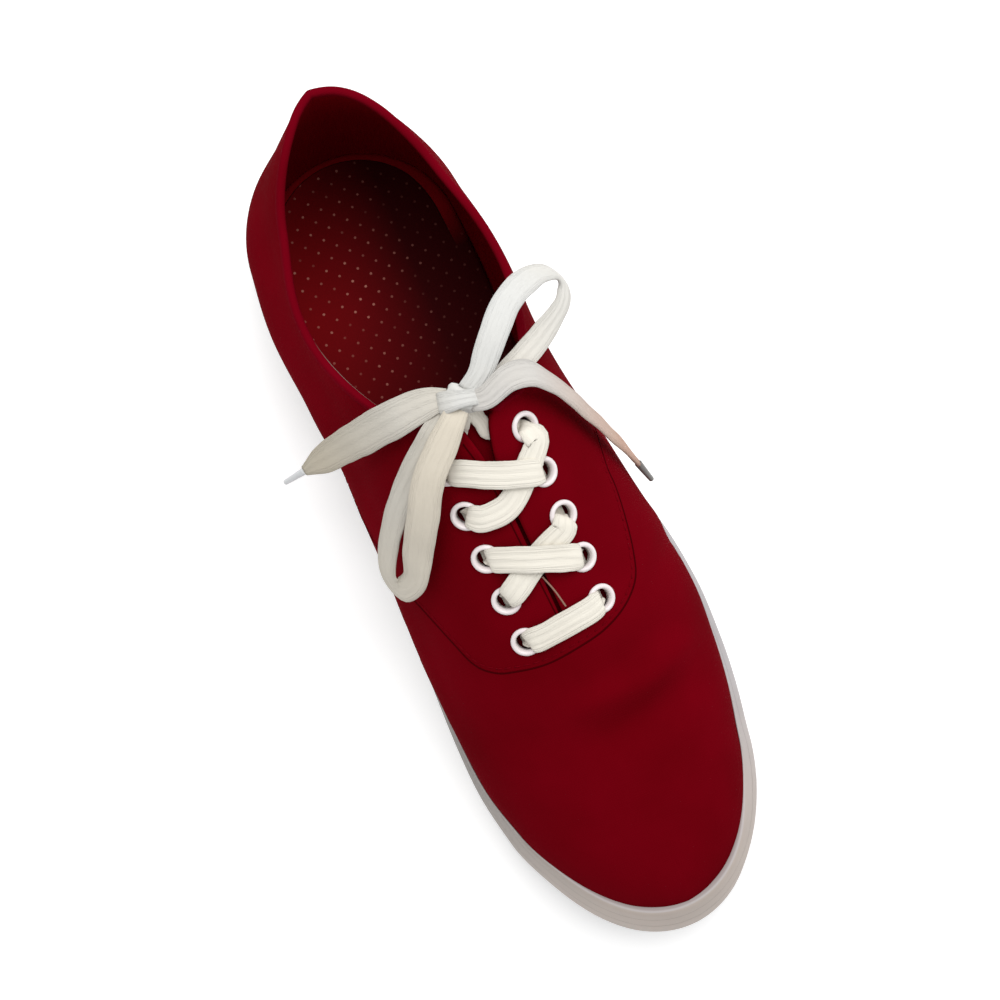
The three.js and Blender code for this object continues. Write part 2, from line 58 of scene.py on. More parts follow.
# Sizes of the shoe, in millimetres.
shoe = {"length": 290, "ball": 96, "spring": 18, "springFrom": 0.625, "springCurve": 2.1, "hollow": 0.8,
        "archFrom": 0.3, "archTo": 0.58, "heelRound": 0.125, "toeRound": 0.16, "wall": 2.6, "gap": 0.3,
        "height": 23, "toeHeight": 26, "foot": 0.9, "toeFoot": 2.6, "belly": 0.6, "footbed": 10,
        "canvas": 2.0, "insole": 4, "collarRoll": 0.035, "lean": 4.4, "leanFrom": 0.46, "leanTo": 0.72,
        "swellFrom": 0.02, "swellTo": 0.36}
plan = {"at": [0, 0.1, 0.2, 0.32, 0.45, 0.56, 0.65, 0.72, 0.78, 0.84, 0.9, 0.95, 1],
        "centre": [0, 0.002, 0.01, 0.027, 0.058, 0.083, 0.097, 0.093, 0.086, 0.084, 0.09, 0.095, 0.098],
        "half": [0.39, 0.396, 0.402, 0.382, 0.417, 0.475, 0.504, 0.505, 0.49, 0.454, 0.416, 0.403, 0.402]}
# The last by turns round the plan, 0 at the heel and 180 at the toe: the ridge's place and height,
# then how a column's curve rises to it.
last = {"turn": [0, 20, 40, 60, 75, 84, 92, 100, 108, 116, 124, 132, 141, 150, 160, 170, 180],
        "at": [0.08, 0.092, 0.14, 0.24, 0.335, 0.395, 0.45, 0.51, 0.57, 0.63, 0.69, 0.745, 0.795, 0.835,
               0.865, 0.883, 0.89],
        "across": [8, 8, 7.5, 7.5, 7, 5.6, 5.5, 6.1, 6.9, 7.5, 8, 8.5, 8.8, 8.9, 9.1, 9.4, 9.5],
        "rise": [98, 98, 99, 103, 101, 96.8, 89.8, 82.6, 76.4, 70.6, 64.4, 60, 57, 54.6, 52.4, 51, 50.4],
        "side": [0.58, 0.57, 0.57, 0.6, 0.6, 0.6, 0.59, 0.58, 0.57, 0.56, 0.56, 0.56, 0.57, 0.58, 0.6,
                 0.62, 0.62],
        "reach": [22, 10.5, 6.5, 17, 15.5, 20.5, 23.5, 25, 27, 28, 27, 26, 25, 23, 20, 17, 16],
        "bulge": [3, 3.5, 6, 11, 11, 11, 10, 9, 8, 7, 6, 5, 4, 3, 2, 1, 1],
        "swell": [0, 1.5, 3.2, 4.2, 3.2, 2.2, 1.8, 1.6, 1.6, 1, 0.5, 0, 0, 0, 0, 0, 0]}
collarLine = {"at": [-0.03, 0.02, 0.06, 0.11, 0.16, 0.2, 0.25, 0.3, 0.338, 0.372, 0.39, 0.402],
              "rise": [77.4, 76.6, 73.6, 69, 66.2, 65.6, 67.8, 73.4, 80, 87.6, 92.8, 98]}
throat = {"at": [0.36, 0.394, 0.396, 0.4, 0.408, 0.42, 0.44, 0.47, 0.606, 0.622],
          "half": [15, 15, 9, 6.2, 4.2, 2.9, 1.5, 0.7, 0.6, 0.6]}


def smooth(table, by, column, x):
    # A table's column at x, along a curve through its values.
    xs, ys = table[by], table[column]
    x = min(max(x, xs[0]), xs[-1])
    i = 0
    while i < len(xs) - 2 and x > xs[i + 1]:
        i += 1

    def slope(k):
        a, b = max(k - 1, 0), min(k + 1, len(xs) - 1)
        return (ys[b] - ys[a]) / (xs[b] - xs[a])

    step = xs[i + 1] - xs[i]
    t = (x - xs[i]) / step
    r = 1 - t
    return (r * r * (1 + 2 * t) * ys[i] + t * r * r * step * slope(i)
            + t * t * (3 - 2 * t) * ys[i + 1] - t * t * r * step * slope(i + 1))


def ease(x, start, stop):
    t = min(max((x - start) / (stop - start), 0), 1)
    return t * t * (3 - 2 * t)


def mix(a, b, t):
    return a + (b - a) * t


def roundEnd(share, reach):
    # How much of the plan's width is left this near an end.
    left = 1 - min(share / reach, 1)
    return math.sqrt(max(0, 1 - left * left))


def middleAt(at):
    return smooth(plan, "at", "centre", at) * shoe["ball"]


def halfAt(at):
    ends = roundEnd(at, shoe["heelRound"]) * roundEnd(1 - at, shoe["toeRound"])
    return smooth(plan, "at", "half", at) * shoe["ball"] * ends


def shareAt(turn):
    return (1 - math.cos(math.radians(turn))) / 2


def treadRise(at):
    across = (at - shoe["archFrom"]) / (shoe["archTo"] - shoe["archFrom"])
    hollow = math.sin(math.pi * across) ** 2 if 0 < across < 1 else 0
    toe = max(0, (at - shoe["springFrom"]) / (1 - shoe["springFrom"]))
    return shoe["hollow"] * hollow + shoe["spring"] * toe ** shoe["springCurve"]


def treadSlope(at):
    before, after = max(at - 0.01, 0), min(at + 0.01, 1)
    return math.atan2(treadRise(after) - treadRise(before), (after - before) * shoe["length"])


def plainOutline(turn, side):
    mirrored = turn < 0 or turn > 180
    folded = -turn if turn < 0 else 360 - turn if turn > 180 else turn
    at = shareAt(folded)
    return Vector((middleAt(at) + side * halfAt(at) * (-1 if mirrored else 1), at * shoe["length"]))


def outline(turn, side, inset=0):
    # The sole's edge in plan, from the heel, and moved in by the inset.
    here = plainOutline(turn, side)
    along = (plainOutline(turn + 1, side) - plainOutline(turn - 1, side)).normalized()
    return Vector((here.x - side * along.y * inset, here.y + side * along.x * inset))


rims = [[side * outline(turn, side).x for turn in range(181)] for side in (1, -1)]
middleX = (max(rims[0]) - max(rims[1])) / 2


def place(x, fromHeel, z):
    return Vector((x - middleX, shoe["length"] / 2 - fromHeel, z))


def lift(p, height):
    # A point of the plan, raised square to the sole's curve.
    at = min(max(p.y / shoe["length"], 0), 1)
    slope = treadSlope(at)
    return place(p.x, p.y - height * math.sin(slope), treadRise(at) + height * math.cos(slope))


def toeShare(turn):
    return ease(shareAt(turn), 0.78, 0.96)


def sideOf(share):
    turn = 360 * share
    return (turn, 1) if turn <= 180 else (360 - turn, -1)


def leanAt(turn):
    return shoe["lean"] * ease(shareAt(turn), shoe["leanFrom"], shoe["leanTo"])


def section(turn, side):
    # A column's curve from the feather edge to the ridge: four handles and the way it swells.
    inset = shoe["wall"] + shoe["gap"] + leanAt(turn) * shoe["footbed"] / shoe["height"]
    foot = lift(outline(turn, side, inset), shoe["footbed"] + shoe["gap"])
    outer = lift(outline(turn, side, inset - 1), shoe["footbed"] + shoe["gap"])
    across, at, rise, handle, reach, bulge = (
        smooth(last, "turn", column, turn) for column in ("across", "at", "rise", "side", "reach", "bulge"))
    top = place(across, at * shoe["length"], rise)
    slope = treadSlope(shareAt(turn))
    up = Vector((0, math.sin(slope), math.cos(slope)))
    away = Vector((foot.x - top.x, foot.y - top.y, 0)).normalized()
    low, high = max(turn - 2, 0), min(turn + 2, 180)
    climb = smooth(last, "turn", "rise", high) - smooth(last, "turn", "rise", low)
    advance = (smooth(last, "turn", "at", low) - smooth(last, "turn", "at", high)) * shoe["length"]
    away.z = away.y * climb / advance
    out = (outer - foot).normalized()
    bend = foot + up * (top.z - foot.z) * handle + out * bulge
    swell = smooth(last, "turn", "swell", turn) if side < 0 else 0
    return [foot, bend, top + away * reach, top, out * swell]


def onCurve(curve, t):
    r = 1 - t
    share = min(max((t - shoe["swellFrom"]) / (shoe["swellTo"] - shoe["swellFrom"]), 0), 1)
    return (curve[0] * r ** 3 + curve[1] * 3 * r * r * t + curve[2] * 3 * r * t * t + curve[3] * t ** 3
            + curve[4] * math.sin(math.pi * share) ** 2)


def ridgeAcross(at):
    return smooth(last, "at", "across", at)


def inOpening(p):
    at = (shoe["length"] / 2 - p.y) / shoe["length"]
    tilt = shoe["collarRoll"]
    rise = p.z * math.cos(tilt) - p.x * math.sin(tilt)
    if at < collarLine["at"][-1] and rise > smooth(collarLine, "at", "rise", at):
        return True
    beside = abs(p.x + middleX - ridgeAcross(at))
    return throat["at"][0] < at < throat["at"][-1] and beside < smooth(throat, "at", "half", at)


def topOf(curve):
    # How far up a column runs before it meets the collar or the throat.
    steps = 60
    cut = [k / steps for k in range(steps // 3, steps + 1) if inOpening(onCurve(curve, k / steps))]
    if not cut:
        return 1
    low, high = cut[0] - 1 / steps, cut[0]
    for _ in range(14):
        middle = (low + high) / 2
        low, high = (low, middle) if inOpening(onCurve(curve, middle)) else (middle, high)
    return low


# Making pieces.
def gridShape(across, along, placeAt, weld=0.02):
    # A sheet of across by along faces, each corner at placeAt(i, j), and its own map called threads.
    build = bmesh.new()
    bmesh.ops.create_grid(build, x_segments=across, y_segments=along, size=0.5)
    threads = build.loops.layers.uv.new("threads")
    spots = {v: (round((v.co.x + 0.5) * across), round((v.co.y + 0.5) * along)) for v in build.verts}
    for v, (i, j) in spots.items():
        v.co = placeAt(i, j) * mm
    for face in build.faces:
        for corner in face.loops:
            i, j = spots[corner.vert]
            corner[threads].uv = (i / across, j / along)
    bmesh.ops.remove_doubles(build, verts=build.verts, dist=weld * mm)
    bmesh.ops.recalc_face_normals(build, faces=build.faces)
    return build


def faceOut(build, centre):
    facing = 0.0
    for face in build.faces:
        facing += (face.calc_center_median() - centre * mm).dot(face.normal) * face.calc_area()
    if facing < 0:
        bmesh.ops.reverse_faces(build, faces=build.faces)


def pieceOf(build, name, finish, nodes=()):
    mesh = bpy.data.meshes.new(name)
    build.to_mesh(mesh)
    build.free()
    mesh.shade_smooth()
    piece = bpy.data.objects.new(name, mesh)
    bpy.context.scene.collection.objects.link(piece)
    mesh.materials.append(finish)
    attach(piece, "root")
    if nodes:
        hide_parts(*nodes)
    return piece


def modified(piece, kind, **settings):
    modifier = piece.modifiers.new(kind.lower(), kind)
    for key, value in settings.items():
        setattr(modifier, key, value)
    return modifier


# Finishes.
def startFinish(name, colour, roughness, specular):
    made = bpy.data.materials.new(name)
    made.use_nodes = True
    made.diffuse_color = (*colour, 1)
    shader = made.node_tree.nodes["Principled BSDF"]
    shader.inputs["Base Color"].default_value = (*colour, 1)
    shader.inputs["Roughness"].default_value = roughness
    shader.inputs["Specular IOR Level"].default_value = specular
    return made


def node(made, kind, inputs=None, **settings):
    new = made.node_tree.nodes.new(kind)
    for key, value in settings.items():
        setattr(new, key, value)
    for key, value in (inputs or {}).items():
        if isinstance(value, bpy.types.NodeSocket):
            made.node_tree.links.new(value, new.inputs[key])
        else:
            new.inputs[key].default_value = value
    return new


def shaderOf(made):
    return made.node_tree.nodes["Principled BSDF"]


def feed(made, key, socket):
    made.node_tree.links.new(socket, shaderOf(made).inputs[key])


def mapped(made, coords, scale):
    return node(made, "ShaderNodeMapping", {"Vector": coords, "Scale": scale}).outputs["Vector"]


def objectSpace(made, scale=(1, 1, 1)):
    return mapped(made, node(made, "ShaderNodeTexCoord").outputs["Object"], scale)


def threadSpace(made, scale=(1, 1, 1)):
    return mapped(made, node(made, "ShaderNodeUVMap", uv_map="threads").outputs["UV"], scale)


def partsOf(made, space):
    return node(made, "ShaderNodeSeparateXYZ", {"Vector": space}).outputs


def blended(made, factor, a, b):
    new = node(made, "ShaderNodeMix", data_type="RGBA")
    made.node_tree.links.new(factor, new.inputs[0])
    for socket, value in ((new.inputs[6], a), (new.inputs[7], b)):
        if isinstance(value, bpy.types.NodeSocket):
            made.node_tree.links.new(value, socket)
        else:
            socket.default_value = (*value, 1)
    return new.outputs[2]


def ranged(made, value, fromLow, fromHigh, toLow=0, toHigh=1):
    return node(made, "ShaderNodeMapRange", {"Value": value, "From Min": fromLow, "From Max": fromHigh,
                                             "To Min": toLow, "To Max": toHigh}).outputs["Result"]


def maths(made, operation, a, b=0.0, c=0.008):
    return node(made, "ShaderNodeMath", {0: a, 1: b, 2: c}, operation=operation).outputs[0]


def bumped(made, height, distance, strength=1, under=None):
    inputs = {"Height": height, "Distance": distance, "Strength": strength}
    if under is not None:
        inputs["Normal"] = under
    return node(made, "ShaderNodeBump", inputs).outputs["Normal"]


def noiseOf(made, space, scale, detail=3, roughness=0.5):
    return node(made, "ShaderNodeTexNoise", {"Vector": space, "Scale": scale, "Detail": detail,
                                             "Roughness": roughness}).outputs["Fac"]


def clothFinish(name, colour, wearAndShade, weave):
    made = startFinish(name, colour, 0.95, 0.01)
    space = objectSpace(made)
    patches = ranged(made, noiseOf(made, space, 28, 4), 0.35, 0.7)
    feed(made, "Base Color", blended(made, patches, colour, wearAndShade))
    bands = {"Vector": space, "Scale": weave, "Distortion": 0.6}
    warp = node(made, "ShaderNodeTexWave", bands, bands_direction="X")
    weft = node(made, "ShaderNodeTexWave", bands, bands_direction="Y")
    crossing = maths(made, "MULTIPLY", warp.outputs["Fac"], weft.outputs["Fac"])
    soft = bumped(made, noiseOf(made, space, 60, 2), 0.0006, 0.5)
    feed(made, "Normal", bumped(made, crossing, 0.00012, 0.35, soft))
    return made


def bindingFinish():
    # The lining's pale edge shows along the binding at the outer waist.
    made = clothFinish("binding", (0.158, 0.0008, 0.0070), (0.128, 0.0006, 0.0050), 480)
    cloth = shaderOf(made).inputs["Base Color"].links[0].from_socket
    places = partsOf(made, objectSpace(made))
    inward = partsOf(made, threadSpace(made))["Y"]
    bare = maths(made, "MULTIPLY", ranged(made, places["Y"], 0.036, 0.044),
                 ranged(made, places["Y"], 0.073, 0.065))
    bare = maths(made, "MULTIPLY", bare, maths(made, "LESS_THAN", places["X"], -0.012))
    bare = maths(made, "MULTIPLY", bare, maths(made, "GREATER_THAN", inward, 0.62))
    feed(made, "Base Color", blended(made, bare, cloth, (0.27, 0.21, 0.18)))
    return made


def rubberFinish():
    # Paler at the inner side with painted shade over the outer one, warm at the toe, dirtier lower down, with
    # painted shade in the two grooves and a painted highlight along the lip's top edge.
    made = startFinish("rubber", (0.42, 0.395, 0.40), 0.6, 0.2)
    space = objectSpace(made)
    places = partsOf(made, space)
    rowShare = partsOf(made, threadSpace(made))["Y"]
    # painted shade: the outer wall is coloured darker because the light falls from the inner side
    sides = blended(made, ranged(made, places["X"], 0.02, -0.03), (0.44, 0.415, 0.425), (0.27, 0.25, 0.235))
    wall = blended(made, ranged(made, places["Y"], -0.07, -0.125), sides, (0.50, 0.43, 0.385))
    # painted shade: the two groove rows of the wall are darkened
    lowLine = maths(made, "COMPARE", rowShare, 0.387, 0.035)
    highLine = maths(made, "COMPARE", rowShare, 0.613, 0.035)
    grooveShade = maths(made, "MULTIPLY", maths(made, "MAXIMUM", lowLine, highLine), 0.45)
    wall = blended(made, grooveShade, wall, (0.16, 0.13, 0.12))
    grime = ranged(made, noiseOf(made, space, 45, 5, 0.6), 0.42, 0.75, 0, 0.7)
    low = ranged(made, places["Z"], 0.002, 0.026, 1, 0.25)
    wall = blended(made, maths(made, "MULTIPLY", grime, low), wall, (0.27, 0.24, 0.21))
    # painted highlight: the lip's top edge, which faces up to the light, is coloured paler
    lit = blended(made, ranged(made, rowShare, 0.78, 0.80), wall, (0.50, 0.46, 0.45))
    feed(made, "Base Color", blended(made, ranged(made, rowShare, 0.812, 0.83), lit, (0.35, 0.30, 0.29)))
    feed(made, "Normal", bumped(made, noiseOf(made, space, 160, 3), 0.0003, 0.35))
    return made


def treadFinish():
    # painted shadow: near-black, standing for the shadow between sole and floor at the toe
    made = startFinish("treadShadowBlack", (0.012, 0.012, 0.014), 0.75, 0.2)
    ripples = node(made, "ShaderNodeTexWave", {"Vector": objectSpace(made), "Scale": 60, "Distortion": 3,
                                               "Detail": 0, "Detail Scale": 2}, bands_direction="Y")
    feed(made, "Normal", bumped(made, ripples.outputs["Fac"], 0.001, 0.8))
    return made


def laceFinish(name, near, far):
    # Ribbed flat lace whose colour passes from near, at the knot, to far.
    made = startFinish(name, near, 0.88, 0.06)
    ends = partsOf(made, threadSpace(made))["Y"]
    plainLace = blended(made, ranged(made, ends, 0.25, 0.85), near, far)
    stain = ranged(made, noiseOf(made, objectSpace(made), 30, 3), 0.45, 0.8, 0, 0.35)
    feed(made, "Base Color", blended(made, stain, plainLace, (0.60, 0.55, 0.46)))
    lengthways = threadSpace(made, (1, 0.02, 1))
    ribs = node(made, "ShaderNodeTexWave", {"Vector": lengthways, "Scale": 7.2, "Distortion": 1.2,
                                            "Detail": 2, "Detail Scale": 3}, bands_direction="X")
    puckers = bumped(made, noiseOf(made, threadSpace(made, (40, 9, 1)), 3, 4, 0.6), 0.0006, 0.5)
    feed(made, "Normal", bumped(made, ribs.outputs["Fac"], 0.0004, 0.35, puckers))
    return made


canvas = clothFinish("canvas", (0.152, 0.0004, 0.0046), (0.122, 0.0003, 0.0032), 420)
lining = clothFinish("lining", (0.21, 0.0014, 0.0050), (0.17, 0.0011, 0.0040), 500)
binding = bindingFinish()
seamLine = startFinish("seamLine", (0.050, 0.0003, 0.0016), 0.95, 0.01)
slitEdge = startFinish("slitEdge", (0.30, 0.17, 0.13), 0.9, 0.02)
thread = startFinish("thread", (0.150, 0.0006, 0.0050), 0.9, 0.02)
rubber = rubberFinish()
treadShadowBlack = treadFinish()
enamel = startFinish("enamel", (0.80, 0.73, 0.73), 0.28, 0.5)
laceCloth = laceFinish("laceCloth", (0.82, 0.78, 0.69), (0.82, 0.78, 0.69))
laceFinishes = {"loopInner": laceFinish("laceBluish", (0.64, 0.64, 0.62), (0.70, 0.67, 0.61)),
                "endInner": laceFinish("laceTan", (0.58, 0.56, 0.53), (0.50, 0.33, 0.26)),
                "loopOuter": laceFinish("laceCream", (0.58, 0.55, 0.49), (0.66, 0.60, 0.50)),
                "endOuter": laceFinish("laceGrey", (0.60, 0.57, 0.51), (0.52, 0.47, 0.38))}
print("finishes made")

# The last's skin, which everything on the upper lies on.
skinShape = {"columns": 240, "rows": 48, "above": 140}
curves = [section(*sideOf(i / skinShape["columns"])) for i in range(skinShape["columns"])]
skin = gridShape(skinShape["columns"], skinShape["rows"],
                 lambda i, j: onCurve(curves[i % skinShape["columns"]], j / skinShape["rows"]))
faceOut(skin, Vector((0, 0, 40)))
skin.normal_update()
skinTree = BVHTree.FromBMesh(skin)
skin.free()


def overSkin(x, y, height=0):
    point, normal, _, _ = skinTree.ray_cast(Vector((x, y, skinShape["above"])) * mm, Vector((0, 0, -1)))
    return point / mm + normal * height, normal


def nearSkin(p, height=0):
    point, normal, _, _ = skinTree.find_nearest(Vector(p) * mm)
    return point / mm + normal * height, normal


def splined(points, step):
    # A smooth line through the points, cut into equal lengths, with every number of a point carried on.
    given = [Vector(p) for p in points]
    ends = [given[0] * 2 - given[1], *given, given[-1] * 2 - given[-2]]
    fine = []
    for a, b, c, d in zip(ends, ends[1:], ends[2:], ends[3:]):
        for k in range(16):
            t = k / 16
            fine.append(((b * 2) + (c - a) * t + (a * 2 - b * 5 + c * 4 - d) * t * t
                         + (b * 3 - a - c * 3 + d) * t ** 3) * 0.5)
    fine.append(given[-1])
    lengths = [0.0]
    for a, b in zip(fine, fine[1:]):
        lengths.append(lengths[-1] + (b.xyz - a.xyz).length)
    count = max(2, round(lengths[-1] / step))
    line, k = [], 0
    for n in range(count + 1):
        want = lengths[-1] * n / count
        while k < len(fine) - 2 and lengths[k + 1] < want:
            k += 1
        span = max(lengths[k + 1] - lengths[k], 1e-6)
        line.append(fine[k].lerp(fine[k + 1], min(max((want - lengths[k]) / span, 0), 1)))
    return line


# Laces: a flat tube whose width wanders by the pucker and whose face waves a little.
lace = {"width": 8.2, "thickness": 1.0, "around": 24, "step": 0.9, "pucker": 0.06, "wave": 0.3,
        "edge": 0.25, "gathered": 0.35}


def ribbonShape(centres, normals, widths, thicknesses, seed=0.0):
    count = len(centres)
    frames = []
    for i in range(count):
        along = (centres[min(i + 1, count - 1)] - centres[max(i - 1, 0)]).normalized()
        across = along.cross(normals[i]).normalized()
        frames.append((across, across.cross(along)))

    def placeAt(k, i):
        angle = 2 * math.pi * (k % lace["around"]) / lace["around"]
        across, out = frames[i]
        c, s = math.cos(angle), math.sin(angle)
        wave = noise.noise(Vector((i * 0.13, seed, 1 if c > 0 else 9)))
        half = widths[i] / 2 * (1 + lace["pucker"] * wave)
        high = thicknesses[i] / 2 * (1 + lace["edge"] * abs(c) ** 4)
        x = math.copysign(abs(c) ** 0.42, c) * half
        y = math.copysign(abs(s) ** 0.85, s) * high
        y += lace["wave"] * noise.noise(Vector((i * 0.09, seed + 5, c)))
        return centres[i] + across * x + out * y

    build = gridShape(lace["around"], count - 1, placeAt)
    bmesh.ops.holes_fill(build, edges=[e for e in build.edges if e.is_boundary], sides=0)
    bmesh.ops.recalc_face_normals(build, faces=build.faces)
    return build


# Each bow piece: points across, along and up from the knot outwards with the width's share,
# the way its flat face looks at the shares of its length, and its real length.
bow = {
    "loopInner": {"node": "lace_loop_inner", "length": 0.110, "points": [
        (-2.4, 36, 99.6, 0.75), (3.2, 39.6, 100.6, 0.85), (10, 47, 102, 1), (18, 54.8, 99, 1),
        (27.3, 59.8, 91, 1), (34.8, 60.6, 83, 0.78), (37.2, 56.8, 79, 0.64), (34.4, 51.2, 80, 0.78),
        (24.9, 44.4, 86.5, 1), (14.5, 38.8, 93, 0.95), (5.4, 35, 96.5, 0.85), (-1.5, 35, 97.6, 0.7)],
        "faces": [(0, (0.1, -0.2, 1)), (0.35, (0.2, 0.3, 1)), (0.5, (0.9, 0.5, 0.6)),
                  (0.62, (0.6, -0.5, 0.8)), (1, (0.1, -0.1, 1))]},
    "endInner": {"node": "lace_end_inner", "length": 0.084, "points": [
        (-3, 33, 100.2, 0.7), (1.5, 32.2, 101, 0.8), (9.1, 34.6, 101.2, 0.95), (15.5, 34, 98, 1),
        (20.5, 30.3, 91, 1), (25.1, 25.2, 83, 1), (29, 19.8, 75.5, 1), (33.2, 13.7, 67.5, 0.95),
        (37.6, 6.9, 58.5, 0.8), (40.8, 0.9, 50.5, 0.36)],
        "faces": [(0, (0, -0.3, 1)), (0.4, (0.6, 0.3, 0.8)), (1, (0.85, 0.2, 0.5))]},
    "loopOuter": {"node": "lace_loop_outer", "length": 0.134, "points": [
        (-8.5, 33.6, 98.2, 0.75), (-12.8, 31.2, 97.4, 0.9), (-17.4, 27.6, 96.4, 1), (-25.6, 22, 90.5, 1),
        (-33.8, 14.8, 81.5, 1), (-40.6, 6.6, 71.5, 1), (-43.8, 0, 65.5, 1), (-42, -5.6, 65.5, 1),
        (-37.1, -4.9, 72, 1.05), (-33, 1.6, 79.6, 1.12), (-27.8, 9.4, 88.4, 1.15), (-21.6, 18.6, 95.6, 1.12),
        (-11.6, 28, 100, 1), (-6.8, 32.4, 100.4, 0.75)],
        "faces": [(0, (0, 0, 1)), (0.3, (-0.7, 0, 0.7)), (0.5, (-0.9, -0.1, 0.42)),
                  (0.66, (-0.3, -0.2, 0.9)), (1, (0, -0.2, 1))]},
    "endOuter": {"node": "lace_end_outer", "length": 0.063, "points": [
        (-8.2, 36.4, 98.6, 0.7), (-12.8, 37.6, 98.4, 1), (-17.6, 37.8, 97, 1.2), (-23, 37.8, 94.4, 1.3),
        (-28.4, 38, 90, 1.34), (-34.8, 38.3, 82.8, 1.3), (-41.4, 38.8, 74.4, 1.2), (-47.9, 39, 67, 1.05),
        (-54.4, 39.1, 60, 0.4)],
        "faces": [(0, (0, 0, 1)), (0.4, (-0.5, -0.2, 0.85)), (1, (-0.7, -0.2, 0.7))]},
}


def faceAt(faces, share):
    k = 0
    while k < len(faces) - 2 and share > faces[k + 1][0]:
        k += 1
    (a, first), (b, second) = faces[k], faces[k + 1]
    return Vector(first).normalized().lerp(Vector(second).normalized(), ease(share, a, b)).normalized()


def thickening(line, gathered):
    # A lace is thicker where its width is gathered.
    return [lace["thickness"] * (1 + gathered * (1 - min(p.w, 1))) for p in line]


for number, (name, part) in enumerate(bow.items()):
    line = splined(part["points"], lace["step"])
    centres = [p.xyz for p in line]
    normals = [faceAt(part["faces"], i / (len(line) - 1)) for i in range(len(line))]
    widths = [lace["width"] * p.w for p in line]
    thicknesses = thickening(line, lace["gathered"])
    pieceOf(ribbonShape(centres, normals, widths, thicknesses, 3.0 * number), name,
                              laceFinishes[name], [part["node"]])
    part["line"] = [tuple(p * mm) for p in centres]

# Hard tips past the two ends.
tips = {"radius": 1.2, "narrowing": 0.7, "length": 11, "sides": 16, "rounding": 0.3,
        "ends": {"tipInner": ("endInner", "lace_tip_inner", (0.16, 0.15, 0.14)),
                 "tipOuter": ("endOuter", "lace_tip_outer", (0.62, 0.63, 0.64))}}
for name, (cordName, nodeName, colour) in tips["ends"].items():
    end, before = (Vector(p) for p in bow[cordName]["line"][-1:-4:-2])
    build = bmesh.new()
    bmesh.ops.create_cone(build, cap_ends=True, segments=tips["sides"], radius1=tips["radius"] * mm,
                          radius2=tips["radius"] * tips["narrowing"] * mm, depth=tips["length"] * mm)
    bmesh.ops.bevel(build, geom=[e for e in build.edges if abs(e.verts[0].co.z - e.verts[1].co.z) < 1e-6],
                    offset=tips["rounding"] * mm, segments=3, profile=0.5, affect="EDGES", material=-1)
    ahead = (end - before).normalized()
    turn = Vector((0, 0, 1)).rotation_difference(ahead).to_matrix().to_4x4()
    build.transform(Matrix.Translation(end + ahead * tips["length"] * 0.5 * mm) @ turn)
    tip = pieceOf(build, name, startFinish(name, colour, 0.35, 0.4), [nodeName])
    bow[cordName]["tip"] = tip
print("bow made")

# The knot: a folded ball with one turn of lace round it.
knot = {"at": (-5.4, 34.8, 98), "half": (5.2, 4.6, 3.8), "across": 36, "rings": 22, "folds": 0.10,
        "lumps": 0.16}
wrap = {"half": (5.6, 4.4), "axis": (0.2, 0.97, 0.1), "width": 5.6, "swing": 0.16, "thickness": 1.4,
        "steps": 48}
middle = Vector(knot["at"])
build = bmesh.new()
bmesh.ops.create_uvsphere(build, u_segments=knot["across"], v_segments=knot["rings"], radius=1)
for v in build.verts:
    fold = knot["folds"] * math.sin(7 * v.co.x + 2 * v.co.y) + knot["lumps"] * noise.noise(v.co * 1.7)
    v.co = (middle + Vector(a * b * (1 + fold) for a, b in zip(v.co, knot["half"]))) * mm
pieceOf(build, "laceKnot", laceFinishes["loopInner"], ["lace_knot"])
axis = Vector(wrap["axis"]).normalized()
across = axis.cross(Vector((0, 0, 1))).normalized()
angles = [2 * math.pi * k / wrap["steps"] for k in range(wrap["steps"] + 1)]
loop = [middle + across * wrap["half"][0] * math.cos(a) + across.cross(axis) * wrap["half"][1] * math.sin(a)
        for a in angles]
wrapWidths = [wrap["width"] * (1 + wrap["swing"] * math.cos(2 * a + 0.9)) for a in angles]
outward = [(p - middle).normalized() for p in loop]
pieceOf(ribbonShape(loop, outward, wrapWidths, [wrap["thickness"]] * len(loop), 2.0),
        "laceWrap", laceFinishes["loopInner"], ())

# Lacing: each half runs from the bar to the top eyelets and out to the knot.
rowsOf = {"count": 5, "firstAt": 0.6145, "pitch": 13.4, "apart": 25.5, "slant": 1.3}
eyelets = {"inner": [], "outer": []}
for row in range(rowsOf["count"]):
    for name, side in (("inner", 1), ("outer", -1)):
        at = rowsOf["firstAt"] - (row * rowsOf["pitch"] + side * rowsOf["slant"]) / shoe["length"]
        x = ridgeAcross(at) + side * rowsOf["apart"] / 2 - middleX
        eyelets[name].append((x, (0.5 - at) * shoe["length"]))
holes = {side + str(row + 1): Vector(at) for side, spots in eyelets.items() for row, at in enumerate(spots)}

# A strap's points between two holes: across, along, height over the canvas.
straps = {
    "barOuter": [(-8.5, -34.6, 1.5), (-1.3, -34.0, 1.4)],
    "barInner": [(5.5, -33.3, 1.5), (-1.3, -34.0, 1.4)],
    "lowUnder": [(-10.6, -18.4, 1.6), (-3.4, -13.9, 1.1), (3.4, -10.6, 1.2), (7.4, -8.9, 1.5)],
    "lowOver": [(5.5, -16.2, 2.2), (-2.0, -13.1, 2.9), (-9.6, -9.9, 2.2)],
    "highUnder": [(-11.2, 3.4, 1.7), (-4.6, 3.6, 1.3), (1.2, 7.6, 1.1), (6.2, 12.8, 1.3), (9.9, 17.2, 1.8)],
    "highOver": [(4.6, 9.9, 2.2), (-3.2, 12.9, 2.9), (-10.6, 16.6, 2.2)],
}


